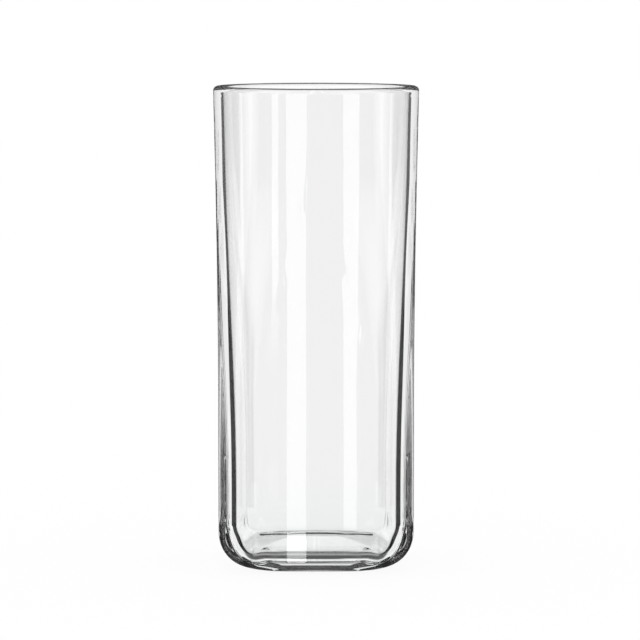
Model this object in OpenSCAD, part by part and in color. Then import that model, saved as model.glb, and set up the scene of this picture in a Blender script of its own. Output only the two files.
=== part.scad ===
/* [Overall] */
// Height from the table to the top of the rim
height = 153.5; // [130:0.5:175]
// Diameter of the round mouth, measured over the lip
rim_d = 65.8; // [60:0.1:72]
// Width across the flat sides of the lower body
side_w = 62; // [56:0.5:66]

/* [Rim] */
// How far the mouth leans out just under the lip
flare = 0.05; // [0.05:0.05:0.6]
// Height of the collar that leans out
collar_h = 2; // [1.5:0.1:6]

/* [Wall] */
// Wall thickness under the rim
wall_top = 3.2; // [2.4:0.1:4]
// Wall thickness in the lower body
wall_low = 5.5; // [4:0.1:6.5]
// Outside corner radius of the square lower body
corner_r = 12.8; // [12:0.2:18]
// Height at which the square body starts to turn round
square_h = 46; // [30:1:70]
// Height at which the wall starts to thin
thin_start = 25; // [24:1:60]
// Height at which the wall has thinned to its upper gauge
thin_end = 128; // [90:1:140]

/* [Base] */
// Thickness of the floor where it meets the fillet
floor_t = 5.8; // [4:0.1:8]
// Rise of the floor towards its middle
floor_crown = 1.4; // [0.2:0.1:2]
// How flat the crown is: 2 is evenly round, more has a flatter middle
crown_power = 3.5; // [2:0.1:5]
// Half the straight stretch on each side of the floor
floor_flat = 18; // [10:0.5:18]
// How far the rounded heel draws in under the flat sides
heel_w = 11.6; // [8:0.1:12]
// Height of the rounded heel
heel_h = 12.6; // [8:0.1:13.5]
// How late the sides straighten on the way up the heel
heel_ease = 1.2; // [1:0.1:3]
// Width of the hollow fillet between the wall and the floor
fillet_w = 6.9; // [3:0.1:7.5]
// Height of the hollow fillet between the wall and the floor
fillet_h = 9.6; // [4:0.1:11]
// Half the straight stretch on each side of the foot
foot_flat = 8; // [3:0.5:9]
// Width of the ring that stands on the table, at the middle of a side
foot_land = 0.5; // [0.3:0.1:3]
// Depth of the hollow under the base
punt_h = 1.7; // [0.5:0.1:2.5]

/* [Hidden] */

glass_colour = [0.90, 0.95, 0.95, 0.6];

// Facets of one corner arc, and steps of the collar, the wall, the heel, the fillet and the floor
corner_steps = 16;
collar_steps = 6;
wall_steps = 22;
heel_steps = 12;
fillet_steps = 10;
floor_steps = 4;
round_fn = 96;

// Straight stretch that is left where the square has become a circle
round_flat = 0.05;
// Least corner radius that is kept on the floor, and straight wall above the fillet
floor_corner = 0.4;
seam_rise = 2;

// Rim
lip_r = wall_top / 2;
mouth_r = rim_d / 2 - flare;
lip_z = height - lip_r;
rim_z = lip_z - collar_h;
thin_top = min(thin_end, rim_z);

// Lower body
side_half = side_w / 2;
side_flat = side_half - corner_r;

// Base
foot_half = side_half - heel_w;
floor_half = side_half - wall_low - fillet_w;
floor_side = min(floor_flat, floor_half - floor_corner);
base_h = max(heel_h, floor_t + fillet_h) + seam_rise;
punt_r = foot_half - foot_land;
punt_sphere_r = (punt_r * punt_r + punt_h * punt_h) / (2 * punt_h);

// Smooth step from 0 to 1
function ease(t) = let (s = min(1, max(0, t))) s * s * (3 - 2 * s);

// How far a height lies between two others, from 0 to 1
function share(z, low, high) = min(1, max(0, (z - low) / (high - low)));

// Outside half-width: upright in the square body, then leaning out to the mouth
function half_width(z) =
    let (s = share(z, square_h, rim_z))
    side_half + (mouth_r - side_half) * (1.5 * s * s - 0.5 * s * s * s);

// Half the straight stretch of each side: full in the square body, none at the mouth
function flat_half(z) =
    side_flat + (round_flat - side_flat) * ease(share(z, square_h, rim_z));

// Wall thickness: heavy below, thin above
function thickness(z) =
    wall_low + (wall_top - wall_low) * ease(share(z, thin_start, thin_top));

// A ring is [half-width, half straight stretch, height]
function outer_ring(z) = [half_width(z), flat_half(z), z];
function inner_ring(z) = [half_width(z) - thickness(z), flat_half(z), z];

// Points of a ring: a square whose corners are arcs, anticlockwise from above
function ring_points(ring) = [
    for (corner = [0 : 3], step = [0 : corner_steps])
        let (
            angle = 90 * (corner + step / corner_steps),
            middle = 90 * corner + 45,
            radius = ring[0] - ring[1],
            reach = ring[1] * sqrt(2)
        )
        [
            reach * cos(middle) + radius * cos(angle),
            reach * sin(middle) + radius * sin(angle),
            ring[2]
        ]
];

// Skin through a list of rings, either joined end to start or capped at both ends
module loft(rings, joined) {
    around = 4 * (corner_steps + 1);
    count = len(rings);
    bands = joined ? count : count - 1;
    sides = [
        for (i = [0 : bands - 1], j = [0 : around - 1])
            let (
                low = i * around,
                high = ((i + 1) % count) * around,
                next = (j + 1) % around
            )
            each [
                [low + j, high + next, low + next],
                [low + j, high + j, high + next]
            ]
    ];
    first_cap = [for (j = [0 : around - 1]) j];
    last_cap = [for (j = [around - 1 : -1 : 0]) (count - 1) * around + j];
    polyhedron(
        points = [for (ring = rings) each ring_points(ring)],
        faces = joined ? sides : concat(sides, [first_cap, last_cap]),
        convexity = 6
    );
}

// Round lip on a collar of even thickness that leans out a little
module rim() {
    middle = mouth_r - lip_r;
    levels = [for (i = [0 : collar_steps]) i / collar_steps];
    outside = [for (s = levels) [middle + flare * ease(s) + lip_r, rim_z + collar_h * s]];
    inside = [for (s = levels) [middle + flare * ease(1 - s) - lip_r, lip_z - collar_h * s]];
    color(glass_colour)
        rotate_extrude($fn = round_fn) {
            polygon(concat(outside, inside));
            translate([middle + flare, lip_z])
                circle(lip_r, $fn = round_fn);
        }
}

// Side wall, square below and round above, up its outside and down its inside
module wall() {
    levels = [for (i = [0 : wall_steps]) base_h + (rim_z - base_h) * i / wall_steps];
    up = [for (z = levels) outer_ring(z)];
    down = [for (i = [wall_steps : -1 : 0]) inner_ring(levels[i])];
    color(glass_colour)
        loft(concat(up, down), true);
}

// Thick bottom: rounded heel outside, filleted and crowned floor inside, hollowed underneath
module base() {
    heel = [
        for (i = [0 : heel_steps])
            let (turn = 90 * i / heel_steps)
            [
                foot_half + heel_w * sin(turn),
                foot_flat + (side_flat - foot_flat) * pow(sin(turn), heel_ease),
                heel_h * (1 - cos(turn))
            ]
    ];
    bowl = [
        for (i = [fillet_steps : -1 : 0])
            let (turn = 90 * i / fillet_steps)
            [
                floor_half + fillet_w * sin(turn),
                floor_side + (side_flat - floor_side) * sin(turn),
                floor_t + fillet_h * (1 - cos(turn))
            ]
    ];
    crown = [
        for (i = [floor_steps : -1 : 1])
            let (size = i / (floor_steps + 1))
            [floor_half * size, floor_side * size, floor_t + floor_crown * (1 - pow(size, crown_power))]
    ];
    color(glass_colour)
        difference() {
            loft(concat(heel, [outer_ring(base_h), inner_ring(base_h)], bowl, crown), false);
            translate([0, 0, punt_h - punt_sphere_r])
                sphere(punt_sphere_r, $fn = round_fn);
        }
}

rim();
wall();
base();
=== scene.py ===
# %% [markdown]
# # A highball glass that turns from square to round
#
# The real thing is one piece of pressed clear glass: a round, fire-polished mouth, walls that
# flatten towards the bottom, and a heavy square base with rounded edges. This lesson builds it as
# one closed skin worked out with numpy, gives it a clear glass finish, and lights it the way glass
# is lit in a studio, with white all round and black cards that draw its edges.

# %% Load the frame
import math

import bpy
import numpy as np
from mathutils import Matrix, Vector


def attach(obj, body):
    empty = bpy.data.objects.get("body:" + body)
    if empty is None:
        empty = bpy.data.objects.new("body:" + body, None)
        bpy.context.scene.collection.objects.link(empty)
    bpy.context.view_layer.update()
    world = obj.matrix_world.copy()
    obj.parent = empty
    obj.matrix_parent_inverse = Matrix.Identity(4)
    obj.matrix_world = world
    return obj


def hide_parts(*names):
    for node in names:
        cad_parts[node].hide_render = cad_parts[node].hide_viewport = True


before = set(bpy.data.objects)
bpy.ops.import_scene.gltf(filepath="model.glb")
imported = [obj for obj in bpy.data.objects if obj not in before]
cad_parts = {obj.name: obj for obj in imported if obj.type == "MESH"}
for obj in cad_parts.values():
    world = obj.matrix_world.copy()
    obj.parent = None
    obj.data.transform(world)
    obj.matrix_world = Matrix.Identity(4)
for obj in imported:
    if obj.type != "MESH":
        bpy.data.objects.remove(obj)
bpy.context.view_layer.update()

# %% [markdown]
# ## The sizes of the glass
#
# A glass is drawn as half a section: how far its skin stands from the middle at each height. This
# one also needs the length of the straight stretch on each side, because its plan goes from a
# rounded square to a circle. All sizes are in millimetres and become metres only in the mesh.

# %% Sizes in millimetres
HEIGHT = 153.5
RIM_D = 65.8
SIDE_W = 62.0
FLARE = 0.05
COLLAR_H = 2.0
WALL_TOP = 3.2
WALL_LOW = 5.5
CORNER_R = 12.8
SQUARE_H = 46.0
THIN_START = 25.0
THIN_END = 128.0
FLOOR_T = 5.8
FLOOR_CROWN = 1.4
CROWN_POWER = 3.5
FLOOR_FLAT = 18.0
HEEL_W = 11.6
HEEL_H = 12.6
FILLET_W = 6.9
FILLET_H = 9.6
FOOT_FLAT = 8.0
HEEL_EASE = 1.2
FOOT_LAND = 0.5
PUNT_H = 1.7
ROUND_FLAT = 0.05

lip_r = WALL_TOP / 2
mouth_r = RIM_D / 2 - FLARE
lip_z = HEIGHT - lip_r
rim_z = lip_z - COLLAR_H
side_half = SIDE_W / 2
side_flat = side_half - CORNER_R
foot_half = side_half - HEEL_W
floor_half = side_half - WALL_LOW - FILLET_W
punt_r = foot_half - FOOT_LAND
punt_sphere_r = (punt_r**2 + PUNT_H**2) / (2 * PUNT_H)
print(f"mouth radius {mouth_r:.2f}, half a side {side_half:.2f}, half the foot {foot_half:.2f}")


# %% [markdown]
# ## Three curves that shape the wall
#
# Each curve is a function of the height: the half-width of the outside, the straight stretch of a
# side, and the thickness of the wall. They are kept as plain formulas, so the outside and the
# inside of the wall come from the same numbers and can never cross.

# %% Curves along the height
def share(z, low, high):
    """How far z lies between low and high, held between 0 and 1."""
    return np.clip((z - low) / (high - low), 0.0, 1.0)


def ease(s):
    """Smooth step: three times s squared less two times s cubed."""
    return s * s * (3.0 - 2.0 * s)


def half_width(z):
    """Upright side, then a lean outwards that grows as 1.5 s squared less 0.5 s cubed."""
    s = share(z, SQUARE_H, rim_z)
    return side_half + (mouth_r - side_half) * (1.5 * s**2 - 0.5 * s**3)


def flat_half(z):
    """Half the straight stretch of a side, eased from its full length to almost none."""
    return side_flat + (ROUND_FLAT - side_flat) * ease(share(z, SQUARE_H, rim_z))


def thickness(z):
    """Wall thickness, eased from the heavy lower wall to the thin upper one."""
    return WALL_LOW + (WALL_TOP - WALL_LOW) * ease(share(z, THIN_START, THIN_END))


for level in (20.0, 80.0, 140.0):
    print(f"at {level:.0f} mm: half-width {half_width(level):.2f}, wall {thickness(level):.2f}")

# %% [markdown]
# ## A ring of the skin
#
# A rounded square is a small square path of half-size `flat`, moved outwards by the corner radius.
# When `flat` is nothing, the same formula draws a circle. Points are shared out by distance along
# the ring, but a straight stretch counts for less, so that the corners get most of them.

# %% Rings of a rounded square
AROUND = 288
FLAT_SHARE = 0.45


def rings(half, flat, height):
    """Grid of rings: row i is the rounded square of half-width half[i] at height[i].

    A quarter of a ring runs along half a side, round a quarter circle whose radius is half less
    flat, and along half of the next side. The other quarters are that one turned by 90 degrees.
    """
    half, flat, height = np.broadcast_arrays(*(np.atleast_1d(v) for v in (half, flat, height)))
    half, flat, height = (np.array(v, dtype=float)[:, None] for v in (half, flat, height))
    radius = half - flat
    straight = FLAT_SHARE * flat
    arc = radius * np.pi / 2
    run = np.linspace(0.0, 1.0, AROUND // 4, endpoint=False)[None, :] * (2 * straight + arc)
    before = np.minimum(run, straight) / FLAT_SHARE
    turn = np.clip((run - straight) / radius, 0.0, np.pi / 2)
    after = np.maximum(run - straight - arc, 0.0) / FLAT_SHARE
    x = flat + radius * np.cos(turn) - after
    y = before + radius * np.sin(turn)
    x, y = np.concatenate([x, -y, -x, y], axis=1), np.concatenate([y, x, -y, -x], axis=1)
    return np.stack([x, y, np.broadcast_to(height, x.shape)], axis=2)


print("points in a ring:", rings(side_half, side_flat, 0.0).shape[1])

# %% [markdown]
# ## The whole skin, from under the base to the floor inside
#
# Clear glass shows both of its faces at once, so the piece has to be one closed skin: up the
# outside, over the lip and down the inside. Separate solids for rim, wall and base would leave
# faces inside the glass, and light would bend at each of them. So the rings of every zone are
# stacked into one grid, in the order in which a finger would pass over the glass.

# %% Under the base and up the outside
PUNT_RINGS, LAND_RINGS, HEEL_RINGS, OUTER_RINGS = 16, 3, 28, 104


def punt():
    """Hollow under the base: a cap of a large sphere, drawn as circles."""
    r = punt_r * np.linspace(0.0, 1.0, PUNT_RINGS + 1)[1:]
    return rings(r, 0.0, PUNT_H - punt_sphere_r + np.sqrt(punt_sphere_r**2 - r**2))


def land():
    """Standing ring: the circle of the hollow blended straight into the outline of the foot."""
    blend = np.linspace(0.0, 1.0, LAND_RINGS + 2)[1:-1, None, None]
    return (1 - blend) * rings(punt_r, 0.0, 0.0) + blend * rings(foot_half, FOOT_FLAT, 0.0)


def heel():
    """Rounded heel: a quarter circle in height and width, while the sides straighten."""
    turn = np.linspace(0.0, np.pi / 2, HEEL_RINGS)
    flat = FOOT_FLAT + (side_flat - FOOT_FLAT) * np.sin(turn) ** HEEL_EASE
    return rings(foot_half + HEEL_W * np.sin(turn), flat, HEEL_H * (1 - np.cos(turn)))


def outer_wall():
    """Outside of the wall, at even steps of height."""
    z = np.linspace(HEEL_H, rim_z, OUTER_RINGS)[1:]
    return rings(half_width(z), flat_half(z), z)


# %% Over the lip and down the inside
COLLAR_RINGS, LIP_RINGS, INNER_RINGS, FILLET_RINGS, FLOOR_RINGS = 10, 30, 104, 26, 16


def flare(way):
    """Collar of one face: the wall leans out by FLARE with even thickness, way is +1 or -1."""
    step = np.linspace(0.0, 1.0, COLLAR_RINGS)
    middle = mouth_r - lip_r + FLARE * ease(step)
    return rings(middle + way * lip_r, ROUND_FLAT, rim_z + COLLAR_H * step)


def lip():
    """Fire-polished lip: half a circle from the outside of the collar to its inside."""
    turn = np.linspace(0.0, np.pi, LIP_RINGS)[1:-1]
    middle = mouth_r - lip_r + FLARE
    return rings(middle + lip_r * np.cos(turn), ROUND_FLAT, lip_z + lip_r * np.sin(turn))


def inner_wall():
    """Inside of the wall: the outside moved inwards by the thickness."""
    z = np.linspace(rim_z, FLOOR_T + FILLET_H, INNER_RINGS)
    return rings(half_width(z) - thickness(z), flat_half(z), z)


def fillet():
    """Hollow corner between the wall and the floor, a quarter circle in height and width."""
    turn = np.linspace(np.pi / 2, 0.0, FILLET_RINGS)[1:]
    flat = FLOOR_FLAT + (side_flat - FLOOR_FLAT) * np.sin(turn)
    height = FLOOR_T + FILLET_H * (1 - np.cos(turn))
    return rings(floor_half + FILLET_W * np.sin(turn), flat, height)


def floor_inside():
    """Floor: the last ring of the fillet shrunk towards the middle, on a very low crown."""
    size = np.linspace(1.0, 0.0, FLOOR_RINGS + 1)[1:-1]
    height = FLOOR_T + FLOOR_CROWN * (1 - size**CROWN_POWER)
    return rings(floor_half * size, FLOOR_FLAT * size, height)


# %% [markdown]
# ## From a grid of points to a mesh
#
# The grid is closed round each ring, so every point joins its neighbour and the point above. Only
# the two ends are open, and each is closed with a fan of triangles round one middle point. The
# faces are counted in a fixed direction, which makes them all point out of the glass.

# %% Skin the grid
MM = 0.001


def closed_skin(name, grid, first_pole, last_pole):
    """Mesh of four-sided faces between rings, with a fan of triangles at both ends."""
    count, around = grid.shape[:2]
    points = np.concatenate([grid.reshape(-1, 3), [first_pole, last_pole]]) * MM
    here = np.arange(count * around).reshape(count, around)
    beside = np.roll(here, -1, axis=1)
    quads = np.stack([here[:-1], beside[:-1], beside[1:], here[1:]], axis=2)
    first = np.stack([np.full(around, len(points) - 2), beside[0], here[0]], axis=1)
    last = np.stack([np.full(around, len(points) - 1), here[-1], beside[-1]], axis=1)
    corners = np.concatenate([quads.ravel(), first.ravel(), last.ravel()])
    sides = np.concatenate([np.full(quads.size // 4, 4), np.full(2 * around, 3)])
    mesh = bpy.data.meshes.new(name)
    mesh.vertices.add(len(points))
    mesh.vertices.foreach_set("co", points.ravel())
    mesh.loops.add(len(corners))
    mesh.loops.foreach_set("vertex_index", corners)
    mesh.polygons.add(len(sides))
    mesh.polygons.foreach_set("loop_start", np.cumsum(sides) - sides)
    mesh.polygons.foreach_set("use_smooth", np.ones(len(sides), dtype=bool))
    mesh.update(calc_edges=True)
    mesh.validate()
    piece = bpy.data.objects.new(name, mesh)
    bpy.context.collection.objects.link(piece)
    return piece


skin = np.concatenate([
    punt(), land(), heel(), outer_wall()[:-1], flare(1), lip(),
    flare(-1)[::-1], inner_wall()[1:], fillet(), floor_inside(),
])
glass = closed_skin("glass", skin, (0.0, 0.0, PUNT_H), (0.0, 0.0, FLOOR_T + FLOOR_CROWN))
print("rings:", len(skin), "triangles:", sum(len(p.vertices) - 2 for p in glass.data.polygons))

# %% [markdown]
# ## Clear pressed glass
#
# Pressed glass is never quite flat: the mould and the flame leave slow waves in its skin, which
# only show where a line seen through it wanders. One noise on the piece's own coordinates makes
# these waves. The thick bottom takes a trace of colour, as soda glass does where light passes a
# long way through it.

# %% Helper for nodes
def add_node(tree, kind, inputs=None, **settings):
    """New node with its settings and the values of its unlinked sockets."""
    item = tree.nodes.new(kind)
    for key, value in settings.items():
        setattr(item, key, value)
    for key, value in (inputs or {}).items():
        item.inputs[key].default_value = value
    return item


# %% Glass finish
GLASS_IOR = 1.52
WAVE_HEIGHT = 0.00002
WAVE_STRENGTH = 0.1


def clear_glass():
    """Principled glass with slow mould waves and a faint tint towards the base."""
    mat = bpy.data.materials.new("clear_glass")
    mat.use_nodes = True
    tree = mat.node_tree
    body = tree.nodes["Principled BSDF"]
    body.inputs["Transmission Weight"].default_value = 1.0
    body.inputs["Roughness"].default_value = 0.0
    body.inputs["IOR"].default_value = GLASS_IOR
    place = add_node(tree, "ShaderNodeTexCoord")
    stretch = add_node(tree, "ShaderNodeMapping", {"Scale": (1.0, 1.0, 0.35)})
    waves = add_node(tree, "ShaderNodeTexNoise", {"Scale": 70.0, "Detail": 1.0})
    bump = add_node(tree, "ShaderNodeBump", {"Strength": WAVE_STRENGTH, "Distance": WAVE_HEIGHT})
    split = add_node(tree, "ShaderNodeSeparateXYZ")
    tint = add_node(tree, "ShaderNodeValToRGB")
    tint.color_ramp.elements[0].position = 0.004
    tint.color_ramp.elements[0].color = (0.975, 0.99, 0.985, 1.0)
    tint.color_ramp.elements[1].position = 0.03
    tint.color_ramp.elements[1].color = (1.0, 1.0, 1.0, 1.0)
    link = tree.links.new
    link(place.outputs["Object"], stretch.inputs["Vector"])
    link(stretch.outputs["Vector"], waves.inputs["Vector"])
    link(waves.outputs["Fac"], bump.inputs["Height"])
    link(bump.outputs["Normal"], body.inputs["Normal"])
    link(place.outputs["Object"], split.inputs["Vector"])
    link(split.outputs["Z"], tint.inputs["Fac"])
    link(tint.outputs["Color"], body.inputs["Base Color"])
    return mat


glass.data.materials.append(clear_glass())
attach(glass, "root")
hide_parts("rim", "wall", "base")
print("finish:", glass.data.materials[0].name)

# %% [markdown]
# ## The camera
#
# The picture is taken from a little above the rim with a long lens, so the sides stay nearly
# parallel and the mouth shows as a thin ellipse. The lens follows from one measure: how many
# millimetres one pixel covers at the distance of the mouth.

# %% Camera
FRAME_PX = 640
PIXEL = 0.3198 * MM
CAMERA_AT = Vector((0.0, -1.29, 0.1933))
AIM_AT = Vector((0.0, 0.0, 0.0784))
AXIS_PX = 316.1

lens = bpy.data.cameras.new("camera")
camera = bpy.data.objects.new("camera", lens)
bpy.context.collection.objects.link(camera)
camera.location = CAMERA_AT
camera.rotation_euler = (AIM_AT - CAMERA_AT).to_track_quat("-Z", "Y").to_euler()
lens.sensor_width = 36.0
to_mouth = (Vector((0.0, 0.0, HEIGHT * MM)) - CAMERA_AT).length
lens.lens = lens.sensor_width * to_mouth / (FRAME_PX * PIXEL)
lens.shift_x = (FRAME_PX / 2 - AXIS_PX) / FRAME_PX
bpy.context.scene.camera = camera
print(f"lens {lens.lens:.1f} mm")

# %% [markdown]
# ## The table
#
# The table is plain white and seamless. The camera sees it as white with the soft shadow of the
# glass; rays that have passed through the glass look past it to the studio around, which is
# where glass gets its lines from.

# %% Table
FLOOR_SIZE = 3.0
FLOOR_DROP = 0.0002
SHADOW_SHARE = 0.06


def white_table():
    """Mostly plain white, with a share of matt surface that takes the shadow."""
    mat = bpy.data.materials.new("white_table")
    mat.use_nodes = True
    tree = mat.node_tree
    tree.nodes.clear()
    out = add_node(tree, "ShaderNodeOutputMaterial")
    mix = add_node(tree, "ShaderNodeMixShader", {"Fac": SHADOW_SHARE})
    plain = add_node(tree, "ShaderNodeEmission", {"Color": (1.0, 1.0, 1.0, 1.0), "Strength": 1.0})
    matt = add_node(tree, "ShaderNodeBsdfDiffuse", {"Color": (1.0, 1.0, 1.0, 1.0)})
    tree.links.new(plain.outputs["Emission"], mix.inputs[1])
    tree.links.new(matt.outputs["BSDF"], mix.inputs[2])
    tree.links.new(mix.outputs["Shader"], out.inputs["Surface"])
    return mat


def table_top():
    """One square face just under the standing ring."""
    corners = FLOOR_SIZE * np.array([(-1, -1), (1, -1), (1, 1), (-1, 1)], dtype=float)
    points = np.column_stack([corners, np.full(4, -FLOOR_DROP)])
    mesh = bpy.data.meshes.new("table")
    mesh.from_pydata(points.tolist(), [], [(0, 1, 2, 3)])
    mesh.materials.append(white_table())
    table = bpy.data.objects.new("table", mesh)
    bpy.context.collection.objects.link(table)
    table.visible_transmission = False
    table.visible_glossy = False
    return table


print("stage:", table_top().name)

# %% [markdown]
# ## The studio around the glass
#
# Clear glass shows nothing but its surroundings, so the studio is drawn by direction: how far a
# ray rises or falls when it leaves the glass, and how far it has turned from straight behind. It
# is white behind the glass. Dark cards stand to both sides and draw the dark lines, and past them
# come a window and the side that the camera stands on. The ceiling is dark for the rim, but for a
# bright strip that lights the foot. Each list gives the brightness against the elevation.

# %% Brightness by elevation in degrees
DARK = 0.015
MIRROR_LEVEL = 0.04
BEHIND = [
    (-90, 0.07), (-85, 0.22), (-78, 0.38), (-72, 0.14), (-66, 0.10), (-55, 0.10), (-45, 0.20),
    (-39, 0.70), (-35, 0.95), (-28, 0.95), (-23, 0.90), (-18, 1.00), (-13, 1.03), (2, 1.03),
    (5, DARK), (17, DARK), (19, 0.90), (38, 0.90), (41, 0.08), (90, 0.08),
]
CARD = [(-90, DARK), (90, DARK)]
WINDOW = [
    (-90, DARK), (-50, DARK), (-40, 0.45), (-11, 0.45), (-9, 1.0), (2, 1.0), (5, DARK), (90, DARK),
]
ASIDE = [(-90, DARK), (-50, DARK), (-40, 0.9), (-11, 0.9), (-9.5, DARK), (90, DARK)]
CAMERA_SIDE = [(-90, DARK), (-50, DARK), (-40, 0.9), (-20, 0.9), (-16, DARK), (90, DARK)]

# %% Where each zone starts, in degrees round from straight behind
CARD_START = [(-90, 52), (-13, 52), (-10, 46), (-5.4, 46), (-3.0, 35), (90, 35)]
WINDOW_START = 79.0
WINDOW_END = 98.0
CAMERA_START = 150.0
SOFT = 2.0

# %% [markdown]
# ## Strips of light
#
# The upright bands in the glass are strips of light behind it. To look straight through a wall
# that is flat below and round above, a strip has to lean in the studio, so each of its edges is a
# line of stops: the elevation in degrees, and the sideways part of the direction in thousandths.
# The slim strips fade out low down, where the light is also toned down a little to both sides. One
# more strip lies low on the camera's side and shows only as a reflection over the base.

# %% Edges of the strips
WIDE_NEAR = [
    (-90, 2.5), (-4.4, 2.5), (-3.5, 3.2), (-2.8, 6.2), (-2.3, 8.9), (-2.0, 9.3), (90, 9.3),
]
WIDE_FAR = [
    (-90, 7.2), (-6.1, 7.2), (-5.9, 8.4), (-5.3, 17.0), (-4.6, 22.5), (-4.0, 25.5), (-3.0, 28.6),
    (-2.2, 31.5), (90, 31.5),
]
SIDE_NEAR = [
    (-90, 6.8), (-6.5, 6.8), (-6.2, 6.0), (-5.9, 6.2), (-5.3, 13.4), (-4.7, 18.5), (-4.0, 22.0),
    (-3.0, 25.1), (-2.2, 27.8), (90, 27.8),
]
SIDE_FAR = [
    (-90, 10.2), (-7.05, 10.0), (-6.4, 26.8), (-5.9, 35.8), (-5.3, 41.6), (-4.5, 45.3),
    (-3.0, 48.3), (-2.1, 50.0), (90, 50.0),
]
SLIM_NEAR = [
    (-90, 9.3), (-6.75, 9.3), (-6.2, 20.0), (-5.7, 27.6), (-5.0, 33.7), (-4.0, 37.6),
    (-2.3, 41.5), (90, 41.5),
]
SLIM_FAR = [
    (-90, 10.9), (-7.2, 10.9), (-6.6, 27.8), (-6.1, 37.9), (-5.5, 44.4), (-4.8, 47.7),
    (-3.5, 49.9), (-2.2, 51.5), (90, 51.5),
]
EDGE_NEAR = [
    (-90, 262), (-7.2, 262), (-6.5, 214), (-6.0, 192), (-5.5, 177), (-4.9, 164), (-3.4, 149),
    (-2.2, 141), (90, 141),
]
EDGE_FAR = [
    (-90, 352), (-7.9, 352), (-7.0, 281), (-6.4, 243), (-5.7, 216), (-5.0, 196), (-4.3, 182),
    (-3.5, 173), (-2.3, 161), (90, 161),
]

# %% Strength of the strips
STRIP_GAIN = 0.12
FADE = [(-90, 0.0), (-7.8, 0.0), (-6.2, 1.0), (90, 1.0)]
SHADE = [(-90, 0.0), (-9.5, 0.0), (-8.6, 0.13), (-7.0, 0.13), (-6.3, 0.0), (90, 0.0)]
SHADE_START = 6.0
TABLE_STRIP = 6.5
TABLE_STRIP_TOP = -8.1


# %% [markdown]
# ## From lists to nodes
#
# A world is a small program of nodes. These helpers each add one or two nodes and hand back the
# output, so that the studio below can be written almost like arithmetic.

# %% Helpers for the studio
def feed(tree, socket, value):
    """Set a socket to a number, or link it to the output of another node."""
    if isinstance(value, float):
        socket.default_value = value
    else:
        tree.links.new(value, socket)


def calc(tree, operation, first, second=0.0):
    """Math node on two values, each of which is a number or the output of another node."""
    item = add_node(tree, "ShaderNodeMath", operation=operation)
    feed(tree, item.inputs[0], first)
    feed(tree, item.inputs[1], second)
    return item.outputs[0]


def mixed(tree, share, before, after):
    """From one value to another as the share goes from 0 to 1."""
    item = add_node(tree, "ShaderNodeMix")
    for name, value in (("Factor", share), ("A", before), ("B", after)):
        feed(tree, item.inputs[name], value)
    return item.outputs["Result"]


def by_height(tree, rise, stops):
    """Value that changes with the elevation, along straight lines between stops in degrees."""
    ends = {"From Min": -math.pi / 2, "From Max": math.pi / 2}
    place = add_node(tree, "ShaderNodeMapRange", ends)
    line = add_node(tree, "ShaderNodeValToRGB")
    marks = line.color_ramp.elements
    for angle, _ in stops[1:-1]:
        marks.new(0.5 + angle / 180.0)
    for mark, (_, value) in zip(marks, stops):
        mark.color = (value, value, value, 1.0)
    tree.links.new(rise, place.inputs["Value"])
    tree.links.new(place.outputs["Result"], line.inputs["Fac"])
    return line.outputs["Color"]


def past(tree, angle, edge):
    """Goes from 0 to 1 where an angle passes a soft edge."""
    item = add_node(tree, "ShaderNodeMapRange", {"From Max": math.radians(SOFT)})
    tree.links.new(calc(tree, "SUBTRACT", angle, edge), item.inputs["Value"])
    return item.outputs["Result"]


def strip(tree, rise, aside, near, far):
    """One between two edges that change with the elevation, and nothing outside of them."""
    inside = calc(tree, "GREATER_THAN", aside, by_height(tree, rise, near))
    within = calc(tree, "LESS_THAN", aside, by_height(tree, rise, far))
    return calc(tree, "MULTIPLY", inside, within)


# %% [markdown]
# ## Putting the studio together
#
# Rays that have passed through the glass see the zones times the strips. Rays that only bounce
# off it see an almost dark room, which keeps the glass clear of stray reflections. The camera and
# the table see plain white, so the background is white and the shadow stays soft.

# %% Zones, strips and reflections
def zones(tree, rise, turn):
    """Brightness of each zone by elevation, with a soft edge from one zone to the next."""
    starts = [calc(tree, "RADIANS", by_height(tree, rise, CARD_START))]
    starts += [math.radians(angle) for angle in (WINDOW_START, WINDOW_END, CAMERA_START)]
    level = by_height(tree, rise, BEHIND)
    for start, stops in zip(starts, (CARD, WINDOW, ASIDE, CAMERA_SIDE)):
        level = mixed(tree, past(tree, turn, start), level, by_height(tree, rise, stops))
    return level


def strips(tree, rise, turn, x):
    """What the strips do to the light behind, around 1, and the wide strip by itself."""
    left, right = calc(tree, "MULTIPLY", x, -1000.0), calc(tree, "MULTIPLY", x, 1000.0)
    wide = strip(tree, rise, left, WIDE_NEAR, WIDE_FAR)
    side = strip(tree, rise, right, SIDE_NEAR, SIDE_FAR)
    slim = strip(tree, rise, left, SLIM_NEAR, SLIM_FAR)
    edge = strip(tree, rise, calc(tree, "ABSOLUTE", right), EDGE_NEAR, EDGE_FAR)
    slim = calc(tree, "MULTIPLY", calc(tree, "ADD", slim, edge), by_height(tree, rise, FADE))
    gain = calc(tree, "ADD", calc(tree, "ADD", wide, side), slim)
    gain = calc(tree, "MULTIPLY", gain, STRIP_GAIN)
    sideways = past(tree, turn, math.radians(SHADE_START))
    shade = calc(tree, "MULTIPLY", by_height(tree, rise, SHADE), sideways)
    return calc(tree, "ADD", calc(tree, "SUBTRACT", gain, shade), 1.0), wide


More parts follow.
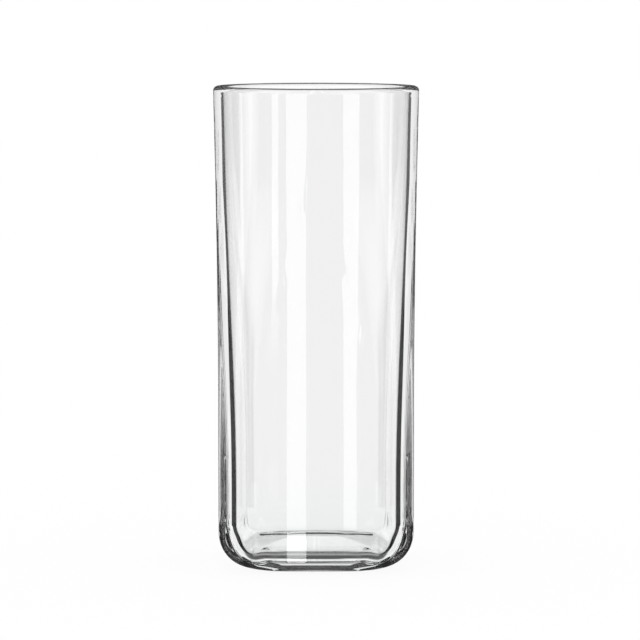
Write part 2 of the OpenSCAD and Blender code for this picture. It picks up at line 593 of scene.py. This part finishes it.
def reflected(tree, rise, y, wide):
    """Almost dark, but for the low strip on the camera's side."""
    low = calc(tree, "LESS_THAN", rise, math.radians(TABLE_STRIP_TOP))
    near = calc(tree, "LESS_THAN", y, 0.0)
    here = calc(tree, "MULTIPLY", wide, calc(tree, "MULTIPLY", low, near))
    return calc(tree, "ADD", calc(tree, "MULTIPLY", here, TABLE_STRIP), MIRROR_LEVEL)


# %% Studio
def studio():
    """World whose brightness depends on where a ray leaves; the camera itself sees white."""
    world = bpy.data.worlds.new("studio")
    bpy.context.scene.world = world
    world.use_nodes = True
    tree = world.node_tree
    tree.nodes.clear()
    way = add_node(tree, "ShaderNodeTexCoord")
    split = add_node(tree, "ShaderNodeSeparateXYZ")
    tree.links.new(way.outputs["Generated"], split.inputs["Vector"])
    x, y, z = (split.outputs[name] for name in "XYZ")
    rise = calc(tree, "ARCSINE", z)
    turn = calc(tree, "ARCTAN2", calc(tree, "ABSOLUTE", x), y)
    gain, wide = strips(tree, rise, turn, x)
    level = calc(tree, "MULTIPLY", zones(tree, rise, turn), gain)
    path = add_node(tree, "ShaderNodeLightPath")
    seen = mixed(tree, path.outputs["Is Glossy Ray"], 1.0, reflected(tree, rise, y, wide))
    seen = mixed(tree, path.outputs["Is Transmission Ray"], seen, level)
    light = add_node(tree, "ShaderNodeBackground", {"Color": (1.0, 1.0, 1.0, 1.0)})
    tree.links.new(seen, light.inputs["Strength"])
    out = add_node(tree, "ShaderNodeOutputWorld")
    tree.links.new(light.outputs["Background"], out.inputs["Surface"])
    return world


print("studio nodes:", len(studio().node_tree.nodes))

# %% [markdown]
# ## Picture settings
#
# Light crosses four skins of glass before it reaches the camera, and in the heel it may bounce
# inside the glass many times before it finds a way out. Rays that are stopped too early turn
# black, so they get plenty of turns.

# %% Settings
scene = bpy.context.scene
scene.view_settings.view_transform = "Standard"
scene.cycles.max_bounces = 96
scene.cycles.transmission_bounces = 96
scene.cycles.glossy_bounces = 96
scene.cycles.sample_clamp_indirect = 0.0
